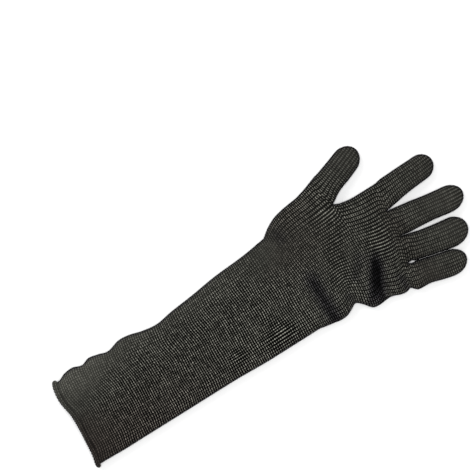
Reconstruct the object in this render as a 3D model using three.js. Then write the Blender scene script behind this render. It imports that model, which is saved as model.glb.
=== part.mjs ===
// A seamless knitted handling glove with an arm-length sleeve, lying flat on its back.
// It is one hollow knitted wall: five fingers, palm and sleeve, open at a hem that curls outward.
// Millimetres, +Z up, +Y from the hem to the finger tips, +X from the thumb to the little finger.

import * as THREE from "three";

// Lengths along the glove
const SLEEVE_LENGTH = 262; // hem to wrist
const THUMB_CROTCH = 77.5; // wrist to the fork between thumb and index finger
const HAND_LENGTH = 120; // wrist to the fork between index and middle finger

// Widths of the flat glove
const SLEEVE_WIDTH = 96;
const HAND_WIDTH = 114;

// Heights above the surface that the glove lies on
const SLEEVE_HEIGHT = 16;
const HAND_HEIGHT = 23;
const FINGER_HEIGHT = 15;
const EDGE_HEIGHT = 6.5; // where the upper and the lower side meet

// The knitted wall and how it rounds over at the edges
const WALL = 2;
const TOP_ROUNDING = 12.5;
const UNDER_ROUNDING = 6.5;
const FOLD_FADE = 0.35; // share of a fold's length over which it runs out

// The curled hem
const HEM_ROLL = 4.6; // thickness of the curl
const HEM_LIFT_LENGTH = 22; // length over which the sleeve rises onto the curl
const HEM_TURN = [25, 75, 125, 180, 230]; // degrees round the curl, from outside to inside

// Fingers
const FINGER_GAP = 0.5; // least space between neighbouring fingers
const FORK_WALL = 3; // depth of the wall where two fingers part
const ROOT_BLEND = 11; // length over which a finger takes its own width
const PARTING_REACH = 0.6; // share of the shorter neighbour at which their parting is aimed
const TIP_ANGLES = [32, 58, 78]; // degrees round the tip at which its rings lie

// Rings and columns of the wall
const COLUMNS = 5; // columns of each finger's strip, on each side
const FINGER_RINGS = [0.04, 0.17, 0.35, 0.56, 0.78, 1]; // shares of the way from root to tip
const SPAN_SAMPLES = 18; // stretches that measure a strip before it is divided
const OUTLINE_STEPS = 40; // stretches of each side in the outline
const PAST_HEM = 40; // length by which the outline runs on past the hem

// The sleeve's sides, as shares of its length and its width
const SLEEVE_SECTIONS = [
  { along: 0.0, thumbSide: -0.484, littleSide: 0.488 },
  { along: 0.03, thumbSide: -0.479, littleSide: 0.486 },
  { along: 0.057, thumbSide: -0.51, littleSide: 0.488 },
  { along: 0.096, thumbSide: -0.521, littleSide: 0.492 },
  { along: 0.135, thumbSide: -0.489, littleSide: 0.495 },
  { along: 0.17, thumbSide: -0.516, littleSide: 0.494 },
  { along: 0.209, thumbSide: -0.497, littleSide: 0.494 },
  { along: 0.25, thumbSide: -0.468, littleSide: 0.494 },
  { along: 0.307, thumbSide: -0.506, littleSide: 0.494 },
  { along: 0.354, thumbSide: -0.496, littleSide: 0.494 },
  { along: 0.405, thumbSide: -0.459, littleSide: 0.494 },
  { along: 0.468, thumbSide: -0.438, littleSide: 0.494 },
  { along: 0.542, thumbSide: -0.468, littleSide: 0.494 },
  { along: 0.64, thumbSide: -0.496, littleSide: 0.495 },
  { along: 0.757, thumbSide: -0.538, littleSide: 0.507 },
  { along: 0.894, thumbSide: -0.565, littleSide: 0.507 },
  { along: 1.0, thumbSide: -0.604, littleSide: 0.505 },
];

// The sides of the heel of the hand, from the wrist to the root of the thumb,
// as shares of that length and of the hand's width
const HEEL_SECTIONS = [
  { along: 0.0, thumbSide: -0.509, littleSide: 0.425 },
  { along: 0.11, thumbSide: -0.56, littleSide: 0.439 },
  { along: 0.22, thumbSide: -0.598, littleSide: 0.451 },
  { along: 0.32, thumbSide: -0.622, littleSide: 0.461 },
  { along: 0.44, thumbSide: -0.638, littleSide: 0.455 },
  { along: 0.54, thumbSide: -0.647, littleSide: 0.425 },
  { along: 0.62, thumbSide: -0.653, littleSide: 0.404 },
  { along: 0.7, thumbSide: -0.659, littleSide: 0.446 },
  { along: 0.79, thumbSide: -0.673, littleSide: 0.513 },
  { along: 0.89, thumbSide: -0.69, littleSide: 0.527 },
  { along: 1.0, thumbSide: -0.714, littleSide: 0.522 },
];

// The sides of the knuckles, from the thumb's fork to the roots of the fingers
const KNUCKLE_SECTIONS = [
  { along: 0.0, thumbSide: -0.4386, littleSide: 0.522 },
  { along: 0.08, thumbSide: -0.424, littleSide: 0.52 },
  { along: 0.2, thumbSide: -0.412, littleSide: 0.52 },
  { along: 0.33, thumbSide: -0.403, littleSide: 0.531 },
  { along: 0.47, thumbSide: -0.399, littleSide: 0.547 },
  { along: 0.6, thumbSide: -0.399, littleSide: 0.556 },
  { along: 0.73, thumbSide: -0.399, littleSide: 0.554 },
  { along: 0.84, thumbSide: -0.399, littleSide: 0.546 },
  { along: 0.92, thumbSide: -0.399, littleSide: 0.57 },
  { along: 1.0, thumbSide: -0.4, littleSide: 0.592 },
];

// How far each point of a root line lies from the wrist: the thumb's as a share of
// THUMB_CROTCH, the fingers' as a share of HAND_LENGTH
const THUMB_LINE = [0.89, 1.0, 1.015, 1.0, 0.965, 0.916];
const FINGER_LINE = [1.025, 1.0, 0.9875, 0.9167, 0.867];

// Where the strips of thumb, index, middle, ring and little finger part, as shares of the width
const SLEEVE_PARTINGS = [0, 0.2, 0.4, 0.6, 0.8, 1];
const HEEL_PARTINGS = [0, 0.22, 0.415, 0.61, 0.805, 1];
const KNUCKLE_PARTINGS = [0, 0.262, 0.516, 0.752, 1];

// How far the hem lies from the sleeve's end, as a share of the sleeve's width
const HEM_LINE = [
  { along: 0.0, rise: 0.068 },
  { along: 0.07, rise: 0.047 },
  { along: 0.21, rise: 0.036 },
  { along: 0.4, rise: 0.0625 },
  { along: 0.6, rise: 0.057 },
  { along: 0.71, rise: 0.047 },
  { along: 0.87, rise: 0.031 },
  { along: 0.97, rise: 0.004 },
  { along: 1.0, rise: 0.0 },
];

// Fingers. root is the axis's start, across the hand's width and along its length, lean is in
// degrees towards the little finger, tip is the rounded end as a share of the width, and the
// sections give the two sides as shares of the finger's width
const FINGERS = [
  {
    name: "thumb",
    root: { across: -0.579, along: 0.608 },
    length: 56,
    width: 28.4,
    lean: -20.8,
    tip: 0.6,
    sections: [
      { along: 0.15, thumbSide: -0.535, littleSide: 0.505 },
      { along: 0.3, thumbSide: -0.52, littleSide: 0.485 },
      { along: 0.5, thumbSide: -0.5, littleSide: 0.5 },
      { along: 0.7, thumbSide: -0.49, littleSide: 0.495 },
    ],
  },
  {
    name: "index",
    root: { across: -0.278, along: 1.017 },
    length: 62.7,
    width: 27.5,
    lean: -4.5,
    tip: 0.55,
    sections: [
      { along: 0.15, thumbSide: -0.525, littleSide: 0.535 },
      { along: 0.3, thumbSide: -0.513, littleSide: 0.502 },
      { along: 0.5, thumbSide: -0.495, littleSide: 0.485 },
      { along: 0.7, thumbSide: -0.465, littleSide: 0.485 },
    ],
  },
  {
    name: "middle",
    root: { across: -0.0044, along: 1.008 },
    length: 73.4,
    width: 27.5,
    lean: 6,
    tip: 0.65,
    sections: [
      { along: 0.12, thumbSide: -0.54, littleSide: 0.51 },
      { along: 0.3, thumbSide: -0.52, littleSide: 0.49 },
      { along: 0.5, thumbSide: -0.48, littleSide: 0.487 },
      { along: 0.7, thumbSide: -0.46, littleSide: 0.52 },
    ],
  },
  {
    name: "ring",
    root: { across: 0.244, along: 0.967 },
    length: 65.1,
    width: 29,
    lean: 9,
    tip: 0.59,
    sections: [
      { along: 0.15, thumbSide: -0.5, littleSide: 0.48 },
      { along: 0.3, thumbSide: -0.472, littleSide: 0.5 },
      { along: 0.5, thumbSide: -0.462, littleSide: 0.535 },
      { along: 0.7, thumbSide: -0.47, littleSide: 0.555 },
      { along: 0.8, thumbSide: -0.476, littleSide: 0.53 },
    ],
  },
  {
    name: "little",
    root: { across: 0.474, along: 0.9 },
    length: 55.9,
    width: 26.5,
    lean: 10.3,
    tip: 0.64,
    sections: [
      { along: 0.12, thumbSide: -0.53, littleSide: 0.49 },
      { along: 0.25, thumbSide: -0.517, littleSide: 0.472 },
      { along: 0.45, thumbSide: -0.488, littleSide: 0.515 },
      { along: 0.65, thumbSide: -0.468, littleSide: 0.545 },
      { along: 0.75, thumbSide: -0.46, littleSide: 0.53 },
    ],
  },
];

// Soft swells of the upper side. Places and reaches are shares of the part's width and length,
// rise is a share of the hand's height over the fingers'
const SWELLS = [
  { part: "sleeve", across: -0.02, along: 0.45, wide: 0.4, long: 0.6, rise: 0.28 },
  { part: "hand", across: 0.04, along: 0.62, wide: 0.42, long: 0.42, rise: 0.85 },
  { part: "hand", across: -0.42, along: 0.4, wide: 0.24, long: 0.36, rise: 0.35 },
];

// Creases of the upper side, from the glove's edge inwards, with ends as shares of the part's
// width and length. width and depth are shares of the hand's height
const FOLDS = [
  { part: "hand", x1: 0.47, y1: 0.15, x2: -0.02, y2: 0.12, width: 0.3, depth: 0.13 },
  { part: "hand", x1: 0.44, y1: 0.365, x2: 0.2, y2: 0.33, width: 0.22, depth: 0.12 },
  { part: "hand", x1: 0.56, y1: 0.585, x2: 0.14, y2: 0.72, width: 0.24, depth: 0.3 },
  { part: "hand", x1: 0.57, y1: 0.82, x2: 0.33, y2: 0.8, width: 0.18, depth: 0.14 },
  { part: "hand", x1: -0.53, y1: 0.02, x2: -0.3, y2: 0.2, width: 0.34, depth: 0.08 },
  { part: "sleeve", x1: -0.5, y1: 0.15, x2: -0.2, y2: 0.17, width: 0.3, depth: 0.06 },
  { part: "sleeve", x1: -0.48, y1: 0.27, x2: -0.1, y2: 0.3, width: 0.4, depth: 0.07 },
  { part: "sleeve", x1: -0.45, y1: 0.49, x2: -0.12, y2: 0.46, width: 0.55, depth: 0.07 },
];

// Colour and finish of the yarn
const YARN_COLOUR = 0x393833;
const YARN_ROUGHNESS = 0.95;

// Arithmetic

function mix(a, b, t) {
  return a + (b - a) * t;
}

function smooth(t) {
  const x = Math.min(Math.max(t, 0), 1);
  return x * x * (3 - 2 * x);
}

// Reads a column of a table at a place between its rows, on a smooth curve through them.
function readTable(rows, column, along) {
  const last = rows.length - 1;
  if (along <= rows[0].along) {
    return rows[0][column];
  }
  if (along >= rows[last].along) {
    return rows[last][column];
  }
  let i = 0;
  while (rows[i + 1].along < along) {
    i += 1;
  }
  const slope = (j) => {
    const before = rows[Math.max(j - 1, 0)];
    const after = rows[Math.min(j + 1, last)];
    return (after[column] - before[column]) / (after.along - before.along);
  };
  const step = rows[i + 1].along - rows[i].along;
  const t = (along - rows[i].along) / step;
  const bend = t * (1 - t);
  const tangents = slope(i) * step * bend * (1 - t) - slope(i + 1) * step * bend * t;
  return mix(rows[i][column], rows[i + 1][column], smooth(t)) + tangents;
}

function partPlace(part, across, along) {
  if (part === "sleeve") {
    return { x: across * SLEEVE_WIDTH, y: along * SLEEVE_LENGTH };
  }
  return { x: across * HAND_WIDTH, y: SLEEVE_LENGTH + along * HAND_LENGTH };
}

// Plan of the trunk

function hemY(across) {
  return readTable(HEM_LINE, "rise", across) * SLEEVE_WIDTH;
}

// Points of a line across the glove, one for each parting.
function crossPoints(leftX, rightX, shares, placeAlong) {
  return shares.map((share, i) => ({ x: mix(leftX, rightX, share), y: placeAlong(i, share) }));
}

function sleeveLine(along) {
  return crossPoints(
    readTable(SLEEVE_SECTIONS, "thumbSide", along) * SLEEVE_WIDTH,
    readTable(SLEEVE_SECTIONS, "littleSide", along) * SLEEVE_WIDTH,
    SLEEVE_PARTINGS,
    (i, share) => mix(hemY(share), SLEEVE_LENGTH, along),
  );
}

function heelLine(along) {
  const shares = SLEEVE_PARTINGS.map((share, i) => mix(share, HEEL_PARTINGS[i], smooth(along)));
  return crossPoints(
    readTable(HEEL_SECTIONS, "thumbSide", along) * HAND_WIDTH,
    readTable(HEEL_SECTIONS, "littleSide", along) * HAND_WIDTH,
    shares,
    (i) => SLEEVE_LENGTH + along * THUMB_LINE[i] * THUMB_CROTCH,
  );
}

function knuckleLine(along) {
  const heel = HEEL_PARTINGS.slice(1).map(
    (share) => (share - HEEL_PARTINGS[1]) / (1 - HEEL_PARTINGS[1]),
  );
  const shares = heel.map((share, i) => mix(share, KNUCKLE_PARTINGS[i], smooth(along)));
  return crossPoints(
    readTable(KNUCKLE_SECTIONS, "thumbSide", along) * HAND_WIDTH,
    readTable(KNUCKLE_SECTIONS, "littleSide", along) * HAND_WIDTH,
    shares,
    (i) => {
      const start = THUMB_LINE[i + 1] * THUMB_CROTCH;
      return SLEEVE_LENGTH + mix(start, FINGER_LINE[i] * HAND_LENGTH, along);
    },
  );
}

// Plan of a finger. A place on it is s along the axis and o across it.

function fingerFrame(finger) {
  const root = partPlace("hand", finger.root.across, finger.root.along);
  const angle = THREE.MathUtils.degToRad(finger.lean);
  const axis = { x: Math.sin(angle), y: Math.cos(angle) };
  const side = { x: Math.cos(angle), y: -Math.sin(angle) };
  return {
    axis,
    place: (s, o) => ({
      x: root.x + axis.x * s + side.x * o,
      y: root.y + axis.y * s + side.y * o,
    }),
    read: (p) => ({
      s: (p.x - root.x) * axis.x + (p.y - root.y) * axis.y,
      o: (p.x - root.x) * side.x + (p.y - root.y) * side.y,
    }),
  };
}

// A finger's own side, before it meets the palm or a neighbour.
function freeSide(finger, column, s) {
  const tipLength = finger.tip * finger.width;
  const intoTip = Math.max(s - (finger.length - tipLength), 0) / tipLength;
  const rounding = Math.sqrt(Math.max(1 - intoTip * intoTip, 0));
  return readTable(finger.sections, column, s / finger.length) * finger.width * rounding;
}

// The line between two neighbours, from their fork to halfway between their facing sides.
function partingLine(left, right, fork) {
  const s = PARTING_REACH * Math.min(left.length, right.length);
  const a = fingerFrame(left).place(s, freeSide(left, "littleSide", s));
  const b = fingerFrame(right).place(s, freeSide(right, "thumbSide", s));
  const along = { x: (a.x + b.x) / 2 - fork.x, y: (a.y + b.y) / 2 - fork.y };
  const length = Math.hypot(along.x, along.y);
  const across = { x: along.y / length, y: -along.x / length };
  return (p) => (p.x - fork.x) * across.x + (p.y - fork.y) * across.y;
}

// A side of a finger from its root point to the tip. parting measures how far a point lies
// past the line to the neighbour, and the side keeps half the gap from it.
function fingerSide(finger, column, rootPoint, parting, sign) {
  const frame = fingerFrame(finger);
  const root = frame.read(rootPoint);
  return {
    start: root.s,
    at: (s) => {
      const own = freeSide(finger, column, s);
      const p = frame.place(s, mix(root.o, own, smooth((s - root.s) / ROOT_BLEND)));
      if (parting && s > root.s) {
        const room = Math.min(s - root.s, FINGER_GAP) / 2;
        const over = sign * parting(p) + room;
        if (over > 0) {
          const q = frame.read(p);
          return frame.place(s, q.o - sign * over);
        }
      }
      return p;
    },
  };
}

// The root points of the fingers, from the thumb's outer one to the little finger's.
const thumbLine = heelLine(1);
const fingerLine = knuckleLine(1);
const forkPoints = [
  [thumbLine[0], thumbLine[1]],
  ...fingerLine.slice(1).map((point, i) => [fingerLine[i], point]),
];

// The parting on a finger's little side, or null where no finger stands beside it.
const partings = FINGERS.map((finger, i) => {
  const beside = FINGERS[i + 1];
  return i > 0 && beside ? partingLine(finger, beside, forkPoints[i][1]) : null;
});

const fingerSides = FINGERS.map((finger, i) => ({
  thumbSide: fingerSide(finger, "thumbSide", forkPoints[i][0], i > 0 && partings[i - 1], -1),
  littleSide: fingerSide(finger, "littleSide", forkPoints[i][1], partings[i], 1),
}));

// Where a finger's rings lie on one of its sides: evenly up to the tip, then round it.
function ringStations(finger, start) {
  const tipLength = finger.tip * finger.width;
  const body = FINGER_RINGS.map((share) => mix(start, finger.length - tipLength, share));
  const round = TIP_ANGLES.map((angle) => {
    const turn = Math.sin(THREE.MathUtils.degToRad(angle));
    return finger.length - tipLength * (1 - turn);
  });
  return [...body, ...round];
}

// The outline, which the heights of both sides are measured from

function outlinePoints() {
  const shares = Array.from({ length: OUTLINE_STEPS + 1 }, (_, k) => k / OUTLINE_STEPS);
  const backwards = [...shares].reverse();
  const sleeve = (end) => (along) => sleeveLine(along).at(end);
  const heel = (end) => (along) => heelLine(along).at(end);
  const knuckle = (end) => (along) => knuckleLine(along).at(end);
  const round = (i, column) => (share) => {
    const side = fingerSides[i][column];
    const turn = Math.sin((share * Math.PI) / 2);
    return side.at(mix(side.start, FINGERS[i].length, turn));
  };
  const finger = (i) => [
    ...shares.map(round(i, "thumbSide")),
    ...backwards.map(round(i, "littleSide")),
  ];
  const left = sleeveLine(0)[0];
  const right = sleeveLine(0).at(-1);
  return [
    { x: left.x, y: left.y - PAST_HEM },
    ...shares.map(sleeve(0)),
    ...shares.map(heel(0)),
    ...finger(0),
    ...shares.map(knuckle(0)),
    ...FINGERS.slice(1).flatMap((_, i) => finger(i + 1)),
    ...backwards.map(knuckle(-1)),
    ...backwards.map(heel(-1)),
    ...backwards.map(sleeve(-1)),
    { x: right.x, y: right.y - PAST_HEM },
  ];
}

const outline = outlinePoints();

function edgeDistance(x, y) {
  let least = Infinity;
  for (let i = 1; i < outline.length; i += 1) {
    const a = outline[i - 1];
    const b = outline[i];
    const dx = b.x - a.x;
    const dy = b.y - a.y;
    const square = dx * dx + dy * dy;
    const t = square > 0 ? ((x - a.x) * dx + (y - a.y) * dy) / square : 0;
    const u = Math.min(Math.max(t, 0), 1);
    least = Math.min(least, Math.hypot(x - a.x - u * dx, y - a.y - u * dy));
  }
  return least;
}

// Heights

function quarterRound(t) {
  const x = 1 - Math.min(t, 1);
  return Math.sqrt(1 - x * x);
}

function hemLift(across, y) {
  return (HEM_ROLL - WALL) * (1 - smooth((y - hemY(across)) / HEM_LIFT_LENGTH));
}

function swellAt(x, y) {
  return SWELLS.reduce((sum, swell) => {
    const centre = partPlace(swell.part, swell.across, swell.along);
    const width = swell.part === "sleeve" ? SLEEVE_WIDTH : HAND_WIDTH;
    const length = swell.part === "sleeve" ? SLEEVE_LENGTH : HAND_LENGTH;
    const dx = (x - centre.x) / (swell.wide * width);
    const dy = (y - centre.y) / (swell.long * length);
    return sum + swell.rise * (HAND_HEIGHT - FINGER_HEIGHT) * Math.exp(-dx * dx - dy * dy);
  }, 0);
}

function foldAt(x, y) {
  return FOLDS.reduce((sum, fold) => {
    const a = partPlace(fold.part, fold.x1, fold.y1);
    const b = partPlace(fold.part, fold.x2, fold.y2);
    const length = Math.hypot(b.x - a.x, b.y - a.y);
    const along = ((x - a.x) * (b.x - a.x) + (y - a.y) * (b.y - a.y)) / (length * length);
    const off = ((x - a.x) * (b.y - a.y) - (y - a.y) * (b.x - a.x)) / length;
    const v = off / (fold.width * HAND_HEIGHT);
    const fade = smooth((1 - along) / FOLD_FADE) * smooth((along + FOLD_FADE) / FOLD_FADE);
    return sum + fold.depth * HAND_HEIGHT * Math.exp(-v * v) * fade;
  }, 0);
}

// The upper and the lower side over a plan point.
function heightsAt({ x, y }) {
  const inwards = edgeDistance(x, y);
  const towardsFingers = smooth((y - SLEEVE_LENGTH) / HAND_LENGTH);
  const body = mix(SLEEVE_HEIGHT, FINGER_HEIGHT, towardsFingers);
  const rise = body + swellAt(x, y) - foldAt(x, y) - EDGE_HEIGHT;
  return {
    top: EDGE_HEIGHT + rise * quarterRound(inwards / TOP_ROUNDING),
    under: EDGE_HEIGHT * (1 - quarterRound(inwards / UNDER_ROUNDING)),
  };
}

// The wall as rings of columns

const positions = [];

function addVertex(x, y, z) {
  positions.push(new THREE.Vector3(x, y, z));
  return positions.length - 1;
}

// Divides the stretch between two plan points into columns, evenly over one side of the wall.
function divide(samples, side) {
  const points = samples.map((p) => new THREE.Vector3(p.x, p.y, p[side]));
  const reach = [0];
  for (let k = 1; k < points.length; k += 1) {
    reach.push(reach[k - 1] + points[k].distanceTo(points[k - 1]));
  }
  const inner = [];
  for (let c = 1; c < COLUMNS; c += 1) {
    const goal = (reach.at(-1) * c) / COLUMNS;
    const k = reach.findIndex((length) => length >= goal);
    const t = (goal - reach[k - 1]) / (reach[k] - reach[k - 1]);
    const p = points[k - 1].clone().lerp(points[k], t);
    inner.push({ x: p.x, y: p.y });
  }
  return inner;
}

function levelGround() {
  return 0;
}

// A ring over the plan points, as vertex numbers of the upper and the lower side.
// joined says at which plan points the two sides share a vertex.
function addRing(points, joined, lift = levelGround) {
  const ring = { top: [], under: [] };
  const put = (p, side) => {
    ring[side].push(addVertex(p.x, p.y, heightsAt(p)[side] + lift(p)));
  };
  points.forEach((point, i) => {
    if (i > 0) {
      const before = points[i - 1];
      const samples = Array.from({ length: SPAN_SAMPLES + 1 }, (_, k) => {
        const t = k / SPAN_SAMPLES;
        const p = { x: mix(before.x, point.x, t), y: mix(before.y, point.y, t) };
        return { ...p, ...heightsAt(p) };
      });
      divide(samples, "top").forEach((p) => put(p, "top"));
      divide(samples, "under").forEach((p) => put(p, "under"));
    }
    put(point, "top");
    if (joined[i]) {
      ring.under.push(ring.top.at(-1));
    } else {
      put(point, "under");
    }
  });
  return ring;
}

function endsJoined(count) {
  return Array.from({ length: count }, (_, i) => i === 0 || i === count - 1);
}

function partOfRing(ring, from, to) {
  return {
    top: ring.top.slice(from * COLUMNS, to * COLUMNS + 1),
    under: ring.under.slice(from * COLUMNS, to * COLUMNS + 1),
  };
}

const faces = [];

function addQuad(a, b, c, d) {
  faces.push([a, b, c], [a, c, d]);
}

// Skins the two sides between two rings, facing out.
function joinRings(near, far) {
  for (let c = 1; c < near.top.length; c += 1) {
    addQuad(near.top[c - 1], near.top[c], far.top[c], far.top[c - 1]);
    addQuad(near.under[c], near.under[c - 1], far.under[c - 1], far.under[c]);
  }
}

function closeTip(ring, pole) {
  for (let c = 1; c < ring.top.length; c += 1) {
    faces.push([ring.top[c - 1], ring.top[c], pole]);
    faces.push([ring.under[c], ring.under[c - 1], pole]);
  }
}

// Trunk: the sleeve from the curl to the wrist, then the heel of the hand
const hemStart = (HEM_ROLL + WALL / 2) / SLEEVE_LENGTH;
const sleeveStations = [
  hemStart,
  ...SLEEVE_SECTIONS.map((row) => row.along).filter((along) => along > hemStart),
];
const sleeveLift = (p) => {
  const line = sleeveLine(0);
  const across = (p.x - line[0].x) / (line.at(-1).x - line[0].x);
  return hemLift(Math.min(Math.max(across, 0), 1), p.y);
};
const sleeveRings = sleeveStations.map((along) =>
  addRing(sleeveLine(along), endsJoined(SLEEVE_PARTINGS.length), sleeveLift),
);

// Stations at each row of a table and halfway between rows, without the first.
function doubledStations(rows) {
  return rows.slice(1).flatMap((row, i) => [(rows[i].along + row.along) / 2, row.along]);
}

const heelRings = doubledStations(HEEL_SECTIONS).map((along) => {
  const joined = endsJoined(HEEL_PARTINGS.length);
  joined[1] = along === 1;
  return addRing(heelLine(along), joined);
});
const trunk = [...sleeveRings, ...heelRings];
trunk.slice(1).forEach((ring, i) => joinRings(trunk[i], ring));

const thumbRoot = partOfRing(trunk.at(-1), 0, 1);
const knuckleRoot = partOfRing(trunk.at(-1), 1, FINGERS.length);

// Knuckles, up to the forks between the four fingers
const knuckleRings = KNUCKLE_SECTIONS.slice(1).map(({ along }) => {
  const joined = endsJoined(KNUCKLE_PARTINGS.length).map((end) => end || along === 1);
  return addRing(knuckleLine(along), joined);
});
const knuckles = [knuckleRoot, ...knuckleRings];
knuckles.slice(1).forEach((ring, i) => joinRings(knuckles[i], ring));

// Fingers
const fingerRoots = [
  thumbRoot,
  ...FINGERS.slice(1).map((_, i) => partOfRing(knuckles.at(-1), i, i + 1)),
];
FINGERS.forEach((finger, i) => {
  const { thumbSide, littleSide } = fingerSides[i];
  const left = ringStations(finger, thumbSide.start);
  const right = ringStations(finger, littleSide.start);
  const rings = left.map((s, k) =>
    addRing([thumbSide.at(s), littleSide.at(right[k])], [true, true]),
  );
  const all = [fingerRoots[i], ...rings];
  rings.forEach((ring, k) => joinRings(all[k], ring));
  const end = fingerFrame(finger).place(finger.length, 0);
  closeTip(rings.at(-1), addVertex(end.x, end.y, EDGE_HEIGHT));
});

// Outward directions of the vertices, from the faces round them
function vertexNormals() {
  const normals = positions.map(() => new THREE.Vector3());
  faces.forEach(([a, b, c]) => {
    const ab = positions[b].clone().sub(positions[a]);
    const ac = positions[c].clone().sub(positions[a]);
    const face = ab.cross(ac);
    [a, b, c].forEach((v) => normals[v].add(face));
  });
  return normals.map((normal) => normal.normalize());
}

const normals = vertexNormals();
const outerFaces = [...faces];
const outerCount = positions.length;

// The vertex in each fork, and the direction between the axes of its two fingers
const forks = new Map(
  fingerRoots.slice(1).map((root, i) => {
    const a = fingerFrame(FINGERS[i]).axis;
    const b = fingerFrame(FINGERS[i + 1]).axis;
    return [root.top[0], new THREE.Vector3(a.x + b.x, a.y + b.y, 0).normalize()];
  }),
);

// The wall's inner face, offset from the outer one
for (let v = 0; v < outerCount; v += 1) {
  const inner = positions[v].clone();
  if (forks.has(v)) {
    inner.addScaledVector(forks.get(v), -FORK_WALL);
  } else {
    inner.addScaledVector(normals[v], -WALL);
  }
  positions.push(inner);
}
outerFaces.forEach(([a, b, c]) => {
  faces.push([a + outerCount, c + outerCount, b + outerCount]);
});

// The curled hem: rings round the end of the wall, from its outer face to its inner one
const rollRadius = HEM_ROLL / 2;
const openRing = sleeveRings[0];
const nextRing = sleeveRings[1];
const curlStart = hemStart * SLEEVE_LENGTH;

function curlVertex(v, next, angle) {
  const turn = THREE.MathUtils.degToRad(angle);
  const toHem = positions[v].clone().sub(positions[next]).normalize();
  const reach = curlStart - rollRadius * (1 + Math.cos(turn));
  const proud = rollRadius * (1 + Math.sin(turn)) - WALL;
  const p = positions[v].clone().addScaledVector(toHem, reach);
  p.addScaledVector(normals[v], proud);
  return addVertex(p.x, p.y, Math.max(p.z, 0));
}

const curlRings = HEM_TURN.map((angle) => {
  const top = openRing.top.map((v, c) => curlVertex(v, nextRing.top[c], angle));
  const under = openRing.under.map((v, c) =>
    v === openRing.top[c] ? top[c] : curlVertex(v, nextRing.under[c], angle),
  );
  return { top, under };
});
const innerRing = {
  top: openRing.top.map((v) => v + outerCount),
  under: openRing.under.map((v) => v + outerCount),
};
const curl = [openRing, ...curlRings, innerRing];
curl.slice(1).forEach((ring, i) => joinRings(ring, curl[i]));

// The finished wall, with the middle of its footprint at the origin
function wallGeometry() {
  const box = new THREE.Box3().setFromPoints(positions);
  const centre = box.getCenter(new THREE.Vector3());
  const geometry = new THREE.BufferGeometry().setFromPoints(positions);
  geometry.setIndex(faces.flat());
  geometry.translate(-centre.x, -centre.y, -box.min.z);
  geometry.computeVertexNormals();
  return geometry;
}

const yarn = new THREE.MeshStandardMaterial({
  color: YARN_COLOUR,
  roughness: YARN_ROUGHNESS,
  metalness: 0,
});

const knitShell = new THREE.Mesh(wallGeometry(), yarn);
knitShell.name = "knit_shell";

const glove = new THREE.Group();
glove.add(knitShell);

export default glove;
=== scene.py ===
# A seamless knitted handling glove with an arm-length sleeve, dressed stitch by stitch
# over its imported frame. The form is worked out in millimetres in the glove's own frame,
# x from thumb to little finger, y from hem to finger tips, and placed in metres at the end.

import math

import bpy
import numpy as np
from mathutils import Matrix, Vector


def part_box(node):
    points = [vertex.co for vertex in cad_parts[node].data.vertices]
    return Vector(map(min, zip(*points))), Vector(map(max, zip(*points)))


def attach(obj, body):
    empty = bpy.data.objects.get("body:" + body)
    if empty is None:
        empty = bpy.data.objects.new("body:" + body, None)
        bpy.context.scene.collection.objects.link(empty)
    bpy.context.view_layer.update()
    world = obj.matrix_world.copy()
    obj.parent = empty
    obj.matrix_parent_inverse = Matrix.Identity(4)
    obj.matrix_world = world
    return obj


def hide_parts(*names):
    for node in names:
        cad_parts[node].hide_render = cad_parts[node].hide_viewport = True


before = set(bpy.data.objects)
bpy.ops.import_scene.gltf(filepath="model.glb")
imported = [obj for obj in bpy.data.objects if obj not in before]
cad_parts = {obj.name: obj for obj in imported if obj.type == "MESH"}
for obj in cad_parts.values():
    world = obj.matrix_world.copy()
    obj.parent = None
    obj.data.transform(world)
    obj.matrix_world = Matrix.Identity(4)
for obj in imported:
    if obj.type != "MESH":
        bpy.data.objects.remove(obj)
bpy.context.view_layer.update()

MM = 0.001
TINY = 1e-9  # keeps a division by a length safe

# Lengths, widths and heights of the glove
SLEEVE_LENGTH = 262.0
THUMB_CROTCH = 77.5
HAND_LENGTH = 120.0
SLEEVE_WIDTH = 96.0
HAND_WIDTH = 114.0
SLEEVE_HEIGHT = 16.0
HAND_HEIGHT = 23.0
FINGER_HEIGHT = 15.0
EDGE_HEIGHT = 6.5  # of the outline over the floor
WALL = 2.0
TOP_ROUNDING = 12.5  # how far inside the outline the upper side reaches its full height
UNDER_ROUNDING = 6.5  # how far inside it the lower side reaches the floor
FOLD_FADE = 0.35  # share of a crease's length over which it fades in and out
PART_SIZES = {"sleeve": (SLEEVE_WIDTH, SLEEVE_LENGTH), "hand": (HAND_WIDTH, HAND_LENGTH)}

# The curled hem
HEM_ROLL = 4.6
HEM_LIFT_LENGTH = 22.0  # over which the sleeve rises to lie on its curled hem
CURL_START = HEM_ROLL + WALL / 2  # from the hem's outermost line to the sleeve's first ring
CURL_ANGLES = np.radians(np.arange(-22.0, 243.0, 8.0))  # from the sleeve round to the tucked edge
CURL_UNEVEN = 0.07  # share by which the roll swells and shrinks round the hem
CURL_WAVES = 5
CURL_SHADE = 0.1  # darkness of the painted shade in the groove where the roll leaves the sleeve
CURL_SHADE_END = 0.9  # the angle at which that has faded out
CURL_RIM_SHADE = 0.75  # darkness of the painted shade on the roll's outer side
CURL_RIM_SHADE_START = -0.2  # the cosine of the angle at which that sets in

# Fingers
FINGER_GAP = 0.04
ROOT_BLEND = 11.0  # over which a finger's side leaves its fork
PARTING_REACH = 0.6  # share of the shorter finger at which the line between two is aimed
TIP_ROWS = 40  # of the mesh, round a tip
SMOOTH_TIP = 12  # rows over which the stitches flatten out towards the end of a tip
SLIT = 1.1  # half the width of the see-through slit at the fork of ring and little finger
SLIT_MIDDLE = 4.2  # its distance from the fork
SLIT_REACH = 2.4

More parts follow.
